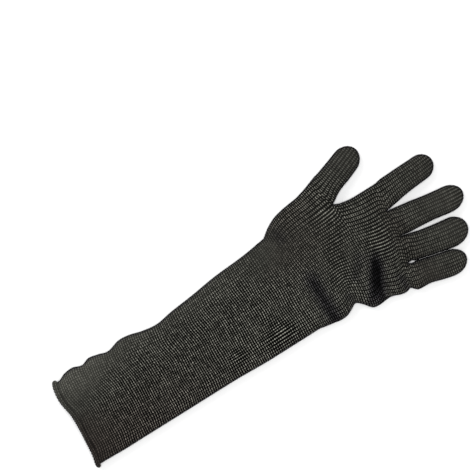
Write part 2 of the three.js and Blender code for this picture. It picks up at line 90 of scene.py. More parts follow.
# The knit: wales run from the hem to the finger tips, courses run round the glove
WALES = 8  # on each side of each finger's strip
FINGER_WALES = 10  # on each side of a finger past its root, where the knit spreads
SPREAD_LENGTH = 14.0  # over which it does so
COLUMNS = 5  # of the mesh, for each wale of a strip
ROWS = 4  # of the mesh, for each course
SLEEVE_COURSE = 2.4
HEEL_COURSE = 2.2
KNUCKLE_COURSE = 2.1
FINGER_COURSE = 2.15
KNIT_DEPTH = 1.3  # from the gaps between stitches to their crowns
KNIT_MEAN = 0.65  # share of that depth that lies under the glove's own surface
FUZZY_RELIEF = 0.55  # share of the relief that is left where the knit is fuzzy
LEG_PLACE = 0.19  # a yarn leg's middle and half its width, as shares of a wale
LEG_REACH = 0.23
LEG_SLANT = 0.9  # how far a leg climbs outwards, in courses for each wale
CROWN_SHARPNESS = 1.7  # power that shapes a crown along its wale
COURSE_FLOOR = 0.1  # height left in the gap between two courses
RIDGE_FLOOR = 0.8  # the same where stretched wales stand out as ridges
ROW_FLOOR = 0.85  # height of the yarn all across where courses stand out as rows
RIDGE_SHARPNESS = 1.5  # power that shapes a ridge across its wale
WOBBLE = 0.2  # how far the courses stray from their lines, in courses
WOBBLE_TURN = 0.22  # the most that a wave turns in a millimetre, in radians
WOBBLE_WAVES = 6
WOBBLE_SEED = 11
RIM = 3.0  # width of the smoother rim round the outline, darkened with painted shade
# darkness of the painted shade on that rim
RIM_SHADE = 0.9
RIM_SMOOTHNESS = 0.7

# How finely the outline and the surface are measured
SAMPLES = 32  # across each strip
OUTLINE_STEPS = 40  # chords in each stretch
OUTLINE_SLACK = 0.02  # between the outline and its chords
OUTLINE_REACH = 2 * TOP_ROUNDING  # further off, the outline no longer counts
PAST_HEM = 40.0  # how far the outline runs on, so that the open end isn't rounded

# Lightness and colour of the yarn, with the shade painted on it
YARN_ROUGHNESS = 0.93
YARN_GLOSS = 0.05
BUMP_STRENGTH = 0.6
BUMP_DEPTH = 0.4  # of the finest relief, which only the material has
FIBRE_HEIGHT = 0.3  # share of that depth by which fibres stand out
CROWN_RANGE = (0.68, 1.0)  # heights of the yarn from its darkest to its lightest
FUZZY_RANGE = (0.48, 0.98)  # the same where the knit is fuzzy
FUZZY_EVENNESS = 0.5  # how much of the stitches' chance lightness the fuzz hides
CROWN_LIGHT = (0.36, 0.083)  # in the crisp knit and in the fuzzy
GAP_LIGHT = (0.0, 0.021)  # painted shade in the gaps between stitches, in the crisp knit and in the fuzzy
GREY_HUE = (1.0, 0.99, 0.85, 1.0)
BROWN_HUE = (1.0, 0.72, 0.64, 1.0)
# tint of the painted shade in the creases, round the rim and on the hem's roll
PAINTED_SHADE_HUE = (0.95, 0.9, 1.0, 1.0)
DIMMED = 0.55  # share of the light that is left where the knit is wholly dim
DEEPEST_SHADE = 0.09  # the same in the deepest painted shade
RIDGE_LIGHT = 0.85  # the same where stretched wales stand out as ridges
RIDGE_DRIFT = 0.9  # how far the ridges come and go by chance
YARN_SPECKLE = 0.4  # how far the yarn's height is blurred by chance before it is coloured
STITCH_LIGHT = (0.6, 1.4)  # from the darkest stitch to the lightest
MOTTLE = (0.85, 1.15)  # from the darkest place of the yarn to the lightest

# Noises: how many swings in a metre, and how many finer layers
DRIFT_NOISE = (45, 1)
MOTTLE_NOISE = (28, 2)
SPECKLE_NOISE = (420, 2)
FIBRE_NOISE = (2600, 3)

# The camera of the photograph, straight above, and the place of the glove in its picture
IMAGE_MM = 470.0
CAMERA_CENTRE = (-66.5, 11.7)  # the point that lies in the picture's middle
IMAGE_RIGHT = (0.530, 0.848)
IMAGE_UP = (-IMAGE_RIGHT[1], IMAGE_RIGHT[0])
LENS_MM = 200.0
SENSOR_MM = 36.0

# Floor and lights. A light's place says how far right and up it is in the picture, and how high,
# in metres.
FLOOR_SIZE = 6.0
FLOOR_DROP = 0.0004
FLOOR_COLOUR = (0.9, 0.9, 0.9, 1.0)
FLOOR_ROUGHNESS = 0.9
SKY_COLOUR = (1.0, 1.0, 1.0, 1.0)
SKY_LIGHT = 0.45
LIGHTS = [
    {"name": "overhead", "place": (0.0, 0.0, 3.2), "size": 1.2, "power": 76.0},
    {"name": "key", "place": (-0.8, 0.8, 1.2), "size": 0.8, "power": 9.0},
]

# Sides of the sleeve, the heel of the hand and the knuckles: along, thumb side, little side.
# The knuckles start where the thumb's strip parts from the heel.
THUMB_SIDE = 1
LITTLE_SIDE = 2
SLEEVE_SECTIONS = [
    (0.0, -0.484, 0.488), (0.03, -0.479, 0.486), (0.057, -0.51, 0.488), (0.096, -0.521, 0.492),
    (0.135, -0.489, 0.495), (0.17, -0.516, 0.494), (0.209, -0.497, 0.494), (0.25, -0.468, 0.494),
    (0.307, -0.506, 0.494), (0.354, -0.496, 0.494), (0.405, -0.459, 0.494), (0.468, -0.438, 0.494),
    (0.542, -0.468, 0.494), (0.64, -0.496, 0.495), (0.757, -0.538, 0.507), (0.894, -0.565, 0.507),
    (1.0, -0.604, 0.505),
]
HEEL_SECTIONS = [
    (0.0, -0.509, 0.425), (0.11, -0.56, 0.439), (0.22, -0.598, 0.451), (0.32, -0.622, 0.461),
    (0.44, -0.638, 0.455), (0.54, -0.647, 0.425), (0.62, -0.653, 0.404), (0.7, -0.659, 0.446),
    (0.79, -0.673, 0.513), (0.89, -0.69, 0.527), (1.0, -0.714, 0.522),
]
KNUCKLE_SECTIONS = [
    (0.0, -0.44208, 0.522), (0.08, -0.424, 0.52), (0.2, -0.412, 0.52), (0.33, -0.403, 0.531),
    (0.47, -0.399, 0.547), (0.6, -0.399, 0.556), (0.73, -0.399, 0.554), (0.84, -0.399, 0.546),
    (0.92, -0.399, 0.57), (1.0, -0.4, 0.592),
]

# The same without the small dents, which wales further inside pay no heed to
CALM_SLEEVE = [
    (0.0, -0.484, 0.488), (0.16, -0.503, 0.494), (0.45, -0.455, 0.494), (0.757, -0.538, 0.507),
    (1.0, -0.604, 0.505),
]
CALM_HEEL = [(0.0, -0.509, 0.425), (0.44, -0.638, 0.468), (1.0, -0.714, 0.522)]
DENT_REACH = 0.6  # share of the width over which a dent fades out

# How far the hem lies from the sleeve's end, as shares of the sleeve's width
HEM_LINE = [
    (0.0, 0.068), (0.07, 0.047), (0.21, 0.036), (0.4, 0.0625), (0.6, 0.057), (0.71, 0.047),
    (0.87, 0.031), (0.97, 0.004), (1.0, 0.0),
]

# Distances of the root lines from the wrist, and where the fingers' strips part
THUMB_LINE = np.array([0.89, 1.0, 1.015, 1.0, 0.965, 0.916])
FINGER_LINE = np.array([1.025, 1.0, 0.9875, 0.9167, 0.867])
SLEEVE_PARTINGS = np.array([0, 0.2, 0.4, 0.6, 0.8, 1])
HEEL_PARTINGS = np.array([0, 0.22, 0.415, 0.61, 0.805, 1])
KNUCKLE_PARTINGS = np.array([0, 0.262, 0.516, 0.752, 1])

# Fingers: root across and along the hand, sizes, and sections as along, thumb side, little side
FINGERS = [
    {
        "name": "thumb", "root": (-0.579, 0.608), "length": 56.0, "width": 28.4,
        "lean": -20.8, "tip": 0.6,
        "sections": [(0.15, -0.535, 0.505), (0.3, -0.52, 0.485), (0.5, -0.5, 0.5), (0.7, -0.49, 0.495)],
    },
    {
        "name": "index", "root": (-0.278, 1.017), "length": 62.7, "width": 27.5,
        "lean": -4.5, "tip": 0.55,
        "sections": [
            (0.15, -0.525, 0.535), (0.3, -0.513, 0.502), (0.5, -0.495, 0.485), (0.7, -0.465, 0.485),
        ],
    },
    {
        "name": "middle", "root": (-0.0044, 1.008), "length": 73.4, "width": 27.5,
        "lean": 6.0, "tip": 0.65,
        "sections": [
            (0.12, -0.54, 0.51), (0.3, -0.52, 0.49), (0.5, -0.48, 0.487), (0.7, -0.46, 0.52),
        ],
    },
    {
        "name": "ring", "root": (0.244, 0.967), "length": 65.1, "width": 29.0,
        "lean": 9.0, "tip": 0.59,
        "sections": [
            (0.15, -0.5, 0.48), (0.3, -0.472, 0.5), (0.5, -0.462, 0.535), (0.7, -0.47, 0.555),
            (0.8, -0.476, 0.53),
        ],
    },
    {
        "name": "little", "root": (0.474, 0.9), "length": 55.9, "width": 26.5,
        "lean": 10.3, "tip": 0.64,
        "sections": [
            (0.12, -0.53, 0.49), (0.25, -0.517, 0.472), (0.45, -0.488, 0.515), (0.65, -0.468, 0.545),
            (0.75, -0.46, 0.53),
        ],
    },
]

# Soft swells: part, across, along, reach across, reach along, rise
SWELLS = [
    ("sleeve", -0.02, 0.45, 0.4, 0.6, 0.28),
    ("hand", 0.04, 0.62, 0.42, 0.42, 0.85),
    ("hand", -0.42, 0.4, 0.24, 0.36, 0.35),
]

# Creases of the upper side: part, ends across and along, width and depth as shares of the hand's height
FOLDS = [
    ("hand", 0.47, 0.15, -0.02, 0.12, 0.3, 0.13),
    ("hand", 0.44, 0.365, 0.2, 0.33, 0.22, 0.12),
    ("hand", 0.56, 0.585, 0.14, 0.72, 0.24, 0.3),
    ("hand", 0.57, 0.82, 0.33, 0.8, 0.18, 0.14),
    ("hand", -0.53, 0.02, -0.3, 0.2, 0.34, 0.08),
    ("sleeve", -0.5, 0.15, -0.2, 0.17, 0.3, 0.06),
    ("sleeve", -0.48, 0.27, -0.1, 0.3, 0.4, 0.07),
    ("sleeve", -0.45, 0.49, -0.12, 0.46, 0.55, 0.07),
]

# Painted shade in dark bands down in the creases: as the creases, with their darkness in place of the
# depth
SHADOWS = [
    ("hand", 0.42, 0.155, -0.12, 0.16, 0.3, 0.8),
    ("hand", 0.5, 0.565, 0.13, 0.73, 0.24, 0.85),
    ("hand", 0.42, 0.52, 0.05, 0.76, 0.22, 0.8),
    ("hand", 0.2, 0.48, 0.03, 0.65, 0.25, 0.3),
    ("hand", 0.53, 0.8, 0.36, 0.79, 0.16, 0.5),
    ("hand", 0.43, 0.36, 0.25, 0.34, 0.18, 0.25),
    ("hand", -0.5, 0.1, -0.36, 0.14, 0.3, 0.25),
]

# Patches of the knit: part, across, along, reach across, reach along, then how fuzzy it is,
# how dim and brown (or light, where below nought), and how far its wales stand out as ridges
# (or its courses, where below nought)
PATCHES = [
    ("sleeve", -0.52, 0.3, 0.2, 0.65, 0.8, -0.9, 0.0),
    ("sleeve", -0.42, 0.1, 0.25, 0.15, 0.9, -0.95, 0.2),
    ("sleeve", 0.0, -0.02, 0.9, 0.12, 0.95, 0.2, 0.0),
    ("sleeve", 0.4, 0.08, 0.45, 0.4, 0.1, 0.4, 0.0),
    ("sleeve", -0.44, 0.99, 0.2, 0.08, 0.7, 0.1, 0.0),
    ("sleeve", 0.33, 0.86, 0.17, 0.06, 0.0, 0.0, 1.1),
    ("sleeve", 0.29, 0.675, 0.1, 0.04, 0.0, 0.0, 1.1),
    ("sleeve", 0.0, 0.4, 0.5, 0.4, 0.0, 0.0, -0.6),
    ("hand", -0.03, 0.59, 0.1, 0.12, 0.0, 0.0, -0.8),
    ("hand", -0.05, 0.5, 0.6, 0.5, 0.3, 0.0, 0.0),
    ("hand", -0.45, 0.2, 0.3, 0.35, 0.1, 0.35, 0.0),
    # painted shade below the finger forks
    ("hand", 0.05, 0.98, 0.35, 0.12, 0.2, 0.25, 0.0),
    ("hand", 0.15, 1.45, 0.75, 0.35, 1.0, -0.15, 0.35),
    ("hand", 0.15, 1.65, 0.75, 0.2, 0.0, 0.0, 0.8),
    ("hand", 0.55, 1.02, 0.18, 0.14, 0.7, 0.2, 0.0),
    ("hand", -0.75, 0.95, 0.22, 0.3, 0.85, -0.1, 0.6),
    ("hand", -0.38, 0.55, 0.12, 0.16, 0.0, 0.0, 1.0),
    ("hand", -0.14, 0.5, 0.09, 0.09, 0.0, 0.0, 0.9),
    ("hand", 0.01, 0.43, 0.09, 0.09, 0.0, 0.0, 0.9),
    ("hand", 0.14, 0.36, 0.09, 0.08, 0.0, 0.0, 0.8),
    ("hand", 0.04, 0.81, 0.22, 0.14, 0.0, -0.15, 1.1),
]
LEAST_TONES = (0.0, -1.6, -1.0)  # the least that patches together make of the three


# Arithmetic

def mix(a, b, t):
    return a + (b - a) * t


def smooth(t):
    x = np.clip(t, 0, 1)
    return x * x * (3 - 2 * x)


def read_table(rows, column, along):
    """A table's column on a smooth curve through its rows."""
    table = np.asarray(rows, float)
    xs, ys = table[:, 0], table[:, column]
    at = np.clip(along, xs[0], xs[-1])
    i = np.clip(np.searchsorted(xs, at, side="right") - 1, 0, len(xs) - 2)
    order = np.arange(len(xs))
    before, after = np.maximum(order - 1, 0), np.minimum(order + 1, len(xs) - 1)
    slopes = (ys[after] - ys[before]) / (xs[after] - xs[before])
    step = xs[i + 1] - xs[i]
    t = (at - xs[i]) / step
    bend = step * t * (1 - t)
    return mix(ys[i], ys[i + 1], smooth(t)) + slopes[i] * bend * (1 - t) - slopes[i + 1] * bend * t


def unit(vectors):
    return vectors / np.maximum(np.linalg.norm(vectors, axis=-1, keepdims=True), TINY)


def part_place(part, across, along):
    width, length = PART_SIZES[part]
    start = 0 if part == "sleeve" else SLEEVE_LENGTH
    return np.array([across * width, start + along * length])


def nearness(x, y, part, across, along, wide, long):
    """1 at a place of a part, and fading out round it over its reaches."""
    centre = part_place(part, across, along)
    width, length = PART_SIZES[part]
    dx = (x - centre[0]) / (wide * width)
    dy = (y - centre[1]) / (long * length)
    return np.exp(-dx * dx - dy * dy)


# Plan of the trunk. Lines are arrays of rings by partings by x and y.

def hem_y(share):
    """Where the hem lies along the sleeve, by the share of the way across from the thumb's side."""
    return read_table(HEM_LINE, 1, share) * SLEEVE_WIDTH


def cross_lines(sections, calm, width, along, shares, ys):
    """Lines across the trunk between the sides, whose dents fade out inwards."""
    left, right, calm_left, calm_right = (
        read_table(table, column, along)[:, None] * width
        for table in (sections, calm) for column in (THUMB_SIDE, LITTLE_SIDE)
    )
    xs = mix(calm_left, calm_right, shares)
    xs = xs + (left - calm_left) * np.maximum(1 - shares / DENT_REACH, 0) ** 2
    xs = xs + (right - calm_right) * np.maximum(1 - (1 - shares) / DENT_REACH, 0) ** 2
    return np.stack([xs, ys], axis=-1)


def sleeve_lines(along):
    ys = mix(hem_y(SLEEVE_PARTINGS)[None, :], SLEEVE_LENGTH, along[:, None])
    return cross_lines(SLEEVE_SECTIONS, CALM_SLEEVE, SLEEVE_WIDTH, along, SLEEVE_PARTINGS, ys)


def heel_lines(along):
    shares = mix(SLEEVE_PARTINGS, HEEL_PARTINGS, smooth(along)[:, None])
    ys = SLEEVE_LENGTH + along[:, None] * THUMB_LINE * THUMB_CROTCH
    return cross_lines(HEEL_SECTIONS, CALM_HEEL, HAND_WIDTH, along, shares, ys)


def knuckle_lines(along):
    first = (HEEL_PARTINGS[1:] - HEEL_PARTINGS[1]) / (1 - HEEL_PARTINGS[1])
    shares = mix(first, KNUCKLE_PARTINGS, smooth(along)[:, None])
    ys = SLEEVE_LENGTH + mix(THUMB_LINE[1:] * THUMB_CROTCH, FINGER_LINE * HAND_LENGTH, along[:, None])
    return cross_lines(KNUCKLE_SECTIONS, KNUCKLE_SECTIONS, HAND_WIDTH, along, shares, ys)


# Plan of a finger. A place on it is s along the axis and o across it.

class FingerPlan:
    def __init__(self, finger):
        angle = math.radians(finger["lean"])
        self.finger = finger
        self.root = part_place("hand", *finger["root"])
        self.axis = np.array([math.sin(angle), math.cos(angle)])
        self.side = np.array([math.cos(angle), -math.sin(angle)])
        self.length = finger["length"]
        self.tip_length = finger["tip"] * finger["width"]

    def place(self, s, o):
        return self.root + np.multiply.outer(s, self.axis) + np.multiply.outer(o, self.side)

    def read(self, p):
        return (p - self.root) @ self.axis, (p - self.root) @ self.side

    def free_side(self, column, s):
        """How far a side stands off the axis where no neighbour is near, rounded off at the tip."""
        into_tip = np.maximum(s - (self.length - self.tip_length), 0) / self.tip_length
        rounding = np.sqrt(np.maximum(1 - into_tip * into_tip, 0))
        width = self.finger["width"]
        return read_table(self.finger["sections"], column, s / self.length) * width * rounding

    def side_points(self, column, fork, parting, sign, s, slit):
        """The side from its fork to the tip, kept half the gap from the line to the neighbour."""
        start, offset = self.read(fork)
        o = mix(offset, self.free_side(column, s), smooth((s - start) / ROOT_BLEND))
        if parting is not None:
            room = np.clip(s - start, 0, FINGER_GAP) / 2
            room += slit * np.exp(-(((s - start - SLIT_MIDDLE) / SLIT_REACH) ** 2))
            over = sign * parting(self.place(s, o)) + room
            o = o - sign * np.where(s > start, np.maximum(over, 0), 0)
        return self.place(s, o)


def parting_line(left, right, fork):
    """The line between two neighbours, as a function that gives how far a point lies past it."""
    s = np.array(PARTING_REACH * min(left.length, right.length))
    a = left.place(s, left.free_side(LITTLE_SIDE, s))
    b = right.place(s, right.free_side(THUMB_SIDE, s))
    along = (a + b) / 2 - fork
    across = np.array([along[1], -along[0]]) / np.hypot(*along)
    return lambda p: (p - fork) @ across


PLANS = [FingerPlan(finger) for finger in FINGERS]

# The ends of each finger's root
thumb_roots = heel_lines(np.array([1.0]))[0]
finger_roots = knuckle_lines(np.array([1.0]))[0]
FORKS = [(thumb_roots[0], thumb_roots[1])] + list(zip(finger_roots[:-1], finger_roots[1:]))

# The line between each finger and the next one, where one is needed
PARTINGS = [
    parting_line(PLANS[i], PLANS[i + 1], FORKS[i][1]) if 0 < i < len(PLANS) - 1 else None
    for i in range(len(PLANS))
]


def finger_sides(i, left_s, right_s):
    """Both sides of a finger, with its slit where it has one."""
    before = PARTINGS[i - 1] if i > 0 else None
    name = FINGERS[i]["name"]
    left_slit = SLIT if name == "little" else 0.0
    right_slit = SLIT if name == "ring" else 0.0
    left = PLANS[i].side_points(THUMB_SIDE, FORKS[i][0], before, -1, left_s, left_slit)
    right = PLANS[i].side_points(LITTLE_SIDE, FORKS[i][1], PARTINGS[i], 1, right_s, right_slit)
    return left, right


# The outline, which the heights of both sides are measured from

def outline_points():
    """The outline from the hem up the thumb's side, round the fingers and back down to the hem."""
    shares = np.linspace(0, 1, OUTLINE_STEPS + 1)
    turn = np.sin(shares * math.pi / 2)

    def finger(i):
        starts = [PLANS[i].read(fork)[0] for fork in FORKS[i]]
        left, right = finger_sides(i, *(mix(start, PLANS[i].length, turn) for start in starts))
        return [left, right[::-1]]

    sleeve, heel, knuckle = sleeve_lines(shares), heel_lines(shares), knuckle_lines(shares)
    past = np.array([0.0, -PAST_HEM])
    pieces = [sleeve[:1, 0] + past, sleeve[:, 0], heel[:, 0], *finger(0), knuckle[:, 0]]
    for i in range(1, len(PLANS)):
        pieces += finger(i)
    pieces += [knuckle[::-1, -1], heel[::-1, -1], sleeve[::-1, -1], sleeve[:1, -1] + past]
    return np.concatenate(pieces)


OUTLINE = outline_points()


def edge_distance(points):
    """Distance of each plan point from the outline. Only the stretches near the points are measured."""
    flat = points.reshape(-1, 2)
    low = flat[:, 1].min() - OUTLINE_REACH
    high = flat[:, 1].max() + OUTLINE_REACH
    least = np.full(len(flat), 2 * OUTLINE_REACH)
    for a, b in zip(OUTLINE[:-1], OUTLINE[1:]):
        if max(a[1], b[1]) < low or min(a[1], b[1]) > high:
            continue
        d = b - a
        square = d @ d
        if square == 0:
            continue
        reach = least.max()
        near = (
            (flat[:, 0] > min(a[0], b[0]) - reach) & (flat[:, 0] < max(a[0], b[0]) + reach)
            & (flat[:, 1] > min(a[1], b[1]) - reach) & (flat[:, 1] < max(a[1], b[1]) + reach)
        )
        p = flat[near] - a
        t = np.clip((p @ d) / square, 0, 1)
        least[near] = np.minimum(least[near], np.hypot(p[:, 0] - t * d[0], p[:, 1] - t * d[1]))
    return least.reshape(points.shape[:-1])


# Heights

def quarter_round(t):
    x = 1 - np.minimum(t, 1)
    return np.sqrt(1 - x * x)


def swell_at(x, y):
    """How far swells rise over plan points."""
    total = np.zeros_like(x)
    for *place, rise in SWELLS:
        total += rise * (HAND_HEIGHT - FINGER_HEIGHT) * nearness(x, y, *place)
    return total


def fold_at(x, y, folds):
    """How deep creases lie under plan points."""
    total = np.zeros_like(x)
    for part, x1, y1, x2, y2, width, depth in folds:
        a, b = part_place(part, x1, y1), part_place(part, x2, y2)
        run = b - a
        length = np.hypot(*run)
        along = ((x - a[0]) * run[0] + (y - a[1]) * run[1]) / (length * length)
        aside = ((x - a[0]) * run[1] - (y - a[1]) * run[0]) / length / (width * HAND_HEIGHT)
        fade = smooth((1 - along) / FOLD_FADE) * smooth((along + FOLD_FADE) / FOLD_FADE)
        total += depth * HAND_HEIGHT * np.exp(-aside * aside) * fade
    return total


def patches_at(x, y):
    """How fuzzy, how dim and how ridged the knit is over plan points."""
    total = np.zeros(x.shape + (3,))
    for *place, fuzz, dim, ridge in PATCHES:
        total += nearness(x, y, *place)[..., None] * (fuzz, dim, ridge)
    return np.clip(total, LEAST_TONES, 1)


def heights_at(points):
    """Heights of the upper and the lower side over plan points."""
    x, y = points[..., 0], points[..., 1]
    inwards = np.maximum(edge_distance(points) - OUTLINE_SLACK, 0)
    body = mix(SLEEVE_HEIGHT, FINGER_HEIGHT, smooth((y - SLEEVE_LENGTH) / HAND_LENGTH))
    rise = body + swell_at(x, y) - fold_at(x, y, FOLDS) - EDGE_HEIGHT
    top = EDGE_HEIGHT + rise * quarter_round(inwards / TOP_ROUNDING)
    under = EDGE_HEIGHT * (1 - quarter_round(inwards / UNDER_ROUNDING))
    left, right = sleeve_lines(np.array([0.0]))[0][[0, -1], 0]
    hem = hem_y(np.clip((x - left) / (right - left), 0, 1))
    lift = (HEM_ROLL - WALL) * (1 - smooth((y - hem) / HEM_LIFT_LENGTH))
    return top + lift, under + lift


# The shell as grids of rings by columns. A ring runs over the upper side from the thumb's edge
# to the little finger's, and back over the lower side.

def column_shares(lines):
    """Where the columns of each strip lie between its partings, evenly over each side's surface."""
    t = np.linspace(0, 1, SAMPLES + 1)
    a, b = lines[:, :-1, None], lines[:, 1:, None]
    points = mix(a, b, t[:, None])
    goal = np.linspace(0, 1, WALES * COLUMNS + 1)
    found = []
    for height in heights_at(points):
        step = np.sqrt((np.diff(points, axis=2) ** 2).sum(-1) + np.diff(height, axis=2) ** 2)
        reach = np.concatenate([np.zeros_like(step[..., :1]), np.cumsum(step, axis=2)], axis=2)
        share = np.empty(reach.shape[:2] + goal.shape)
        for i in np.ndindex(reach.shape[:2]):
            share[i] = np.interp(goal * reach[i][-1], reach[i], t)
        found.append((share, reach[..., -1]))
    return found


def between_rows(values, rows):
    """Values given at some rows, read at every row up to the last."""
    every = np.arange(rows[-1] + 1)
    flat = values.reshape(len(rows), -1)
    read = np.stack([np.interp(every, rows, flat[:, k]) for k in range(flat.shape[1])], axis=1)
    return read.reshape((len(every),) + values.shape[1:])


def place_columns(lines, share):
    """Plan points of every ring and column, from the shares between partings."""
    points = mix(lines[:, :-1, None], lines[:, 1:, None], share[..., None])
    inner = points[:, :, :-1].reshape(len(lines), -1, 2)
    return np.concatenate([inner, lines[:, -1:]], axis=1)


def round_trip(upper, lower):
    """A ring's values over the upper side and back over the lower one."""
    return np.concatenate([upper, lower[:, -2:0:-1]], axis=1)


def follow_hem(side):
    """Moves a side's points along, so that near the hem they follow its curved line."""
    share = (side[..., 0] - side[:, :1, 0]) / (side[:, -1:, 0] - side[:, :1, 0])
    straight = np.interp(share, SLEEVE_PARTINGS, hem_y(SLEEVE_PARTINGS))
    side[..., 1] += (hem_y(share) - straight) * (1 - side[..., 1] / SLEEVE_LENGTH)


def make_grid(lines, first_wale, first_course, course, hem=False):
    """A grid over the lines: its points in space, and the knit's values at each."""
    rows = np.unique(np.append(np.arange(0, len(lines), ROWS), len(lines) - 1))
    (upper_share, upper_reach), (lower_share, _) = column_shares(lines[rows])
    upper = place_columns(lines, between_rows(upper_share, rows))
    lower = place_columns(lines, between_rows(lower_share, rows))
    if hem:
        follow_hem(upper)
        follow_hem(lower)
    top, _ = heights_at(upper)
    _, bottom = heights_at(lower)
    bottom[:, 0] = top[:, 0]
    bottom[:, -1] = top[:, -1]
    space = round_trip(np.dstack([upper, top]), np.dstack([lower, bottom]))
    wale = np.broadcast_to(first_wale + np.arange(top.shape[1]) / COLUMNS, top.shape)
    # painted shade down in the creases, on the upper side only
    painted_shade = np.clip(fold_at(upper[..., 0], upper[..., 1], SHADOWS) / HAND_HEIGHT, 0, 1)
    painted_shade = round_trip(painted_shade, np.zeros_like(painted_shade))
    rim = 1 - smooth(edge_distance(space[..., :2]) / RIM)
    patches = patches_at(space[..., 0], space[..., 1])
    return {
        "space": space, "wale": round_trip(wale, wale),
        "course": course[:, None] + first_course + wobble_at(space[..., :2]),
        # painted shade from the creases' bands and round the rim
        "shade": 1 - (1 - painted_shade) * (1 - RIM_SHADE * rim),
        "relief": (1 - RIM_SMOOTHNESS * rim) * mix(1, FUZZY_RELIEF, patches[..., 0]),
        "fuzz": patches[..., 0], "dim": patches[..., 1], "ridge": patches[..., 2],
        "reach": between_rows(upper_reach, rows),
    }


KNIT_KEYS = ("wale", "course", "shade")
TONE_KEYS = ("fuzz", "dim", "ridge")
VALUE_KEYS = KNIT_KEYS + TONE_KEYS


def join_grids(grids):
    """One grid over several that follow each other and share their end rings."""
    joined = dict(grids[0])
    for grid in grids[1:]:
        for key in ("space", "relief", *VALUE_KEYS):
            joined[key] = np.concatenate([joined[key], grid[key][1:]])
    return joined


def even_rows(length, course):
    """Rows over a length: their shares of it, and their places in whole courses."""
    courses = round(length / course)
    return np.linspace(0, 1, courses * ROWS + 1), np.arange(courses * ROWS + 1) / ROWS


def finger_grid(i, first_course):
    """A finger from its root to just before its tip's end, where its wales run out at the outline."""
    plan = PLANS[i]
    body_end = plan.length - plan.tip_length
    starts = [float(plan.read(fork)[0]) for fork in FORKS[i]]
    shares, course = even_rows(body_end - sum(starts) / 2, FINGER_COURSE)
    turn = np.linspace(0, math.pi / 2, TIP_ROWS + 1)[1:-1]
    tip_s = body_end + plan.tip_length * np.sin(turn)
    left_s, right_s = (np.concatenate([mix(start, body_end, shares), tip_s]) for start in starts)
    course = np.concatenate([course, course[-1] + (tip_s - body_end) / FINGER_COURSE])
    left, right = finger_sides(i, left_s, right_s)
    grid = make_grid(np.stack([left, right], axis=1), i * WALES, first_course, course)

    # The wales grow finer past the root, and keep their width where the tip narrows
    whole = grid["reach"][len(shares) - 1, 0]
    narrowing = np.minimum(grid["reach"][:, 0] / whole, 1)
    narrowing[: len(shares)] = 1
    from_root = (left_s + right_s - sum(starts)) / 2
    spread = mix(1, FINGER_WALES / WALES, smooth(from_root / SPREAD_LENGTH))
    middle = (i + 0.5) * WALES
    grid["wale"] = middle + (grid["wale"] - middle) * (narrowing * spread)[:, None]
    grid["relief"] *= smooth(np.arange(len(left), 0, -1) / SMOOTH_TIP)[:, None]

    for key, inset in (("pole", 0.0), ("inner_pole", WALL)):
        end = plan.place(np.array(plan.length - inset), np.array(0.0))
        grid[key] = np.array([end[0], end[1], EDGE_HEIGHT])
    return grid


# Stitches

generator = np.random.default_rng(WOBBLE_SEED)
wave_ways = generator.uniform(-WOBBLE_TURN, WOBBLE_TURN, (WOBBLE_WAVES, 2))
wave_starts = generator.uniform(0, 2 * math.pi, WOBBLE_WAVES)


def wobble_at(points):
    """How far the courses stray from their lines at plan points."""
    return WOBBLE * np.sin(points @ wave_ways.T + wave_starts).sum(axis=-1) / math.sqrt(WOBBLE_WAVES)


def stitch_height(wale, course, ridge):
    """The yarn's height, 0 in the gaps and 1 on the crowns: two legs in each wale, in a V."""
    off = np.abs(wale - np.floor(wale) - 0.5)
    leg = np.sqrt(np.maximum(1 - ((off - LEG_PLACE) / LEG_REACH) ** 2, 0))
    leg = mix(leg, ROW_FLOOR, np.maximum(-ridge, 0))
    leg = mix(leg, np.maximum(np.cos(math.pi * off), 0) ** RIDGE_SHARPNESS, np.maximum(ridge, 0))
    phase = course - LEG_SLANT * off
    crown = np.sin(math.pi * (phase - np.floor(phase))) ** CROWN_SHARPNESS
    return leg * mix(mix(COURSE_FLOOR, RIDGE_FLOOR, np.maximum(ridge, 0)), 1, crown)


def surface_normals(space):
    """Outward directions of a closed grid's smooth surface."""
    across = np.roll(space, -1, axis=1) - np.roll(space, 1, axis=1)
    return unit(np.cross(across, np.gradient(space, axis=0)))


def share_normals(grids):
    """Gives the points that grids share one outward direction."""
    points = np.concatenate([grid["space"].reshape(-1, 3) for grid in grids])
    normals = np.concatenate([grid["normal"].reshape(-1, 3) for grid in grids])
    _, first, same = np.unique(np.round(points, 3), axis=0, return_index=True, return_inverse=True)
    total = np.zeros((len(first), 3))
    np.add.at(total, same.ravel(), normals)
    shared = np.split(unit(total)[same.ravel()], np.cumsum([grid["wale"].size for grid in grids])[:-1])
    for grid, normal in zip(grids, shared):
        grid["normal"] = normal.reshape(grid["space"].shape)


def knitted(grid):
    """The grid with its stitches raised."""
    stitches = stitch_height(grid["wale"], grid["course"], grid["ridge"])
    lift = KNIT_DEPTH * grid["relief"] * (stitches - KNIT_MEAN)
    space = grid["space"] + grid["normal"] * lift[..., None]
    space[..., 2] = np.maximum(space[..., 2], 0)
    return space


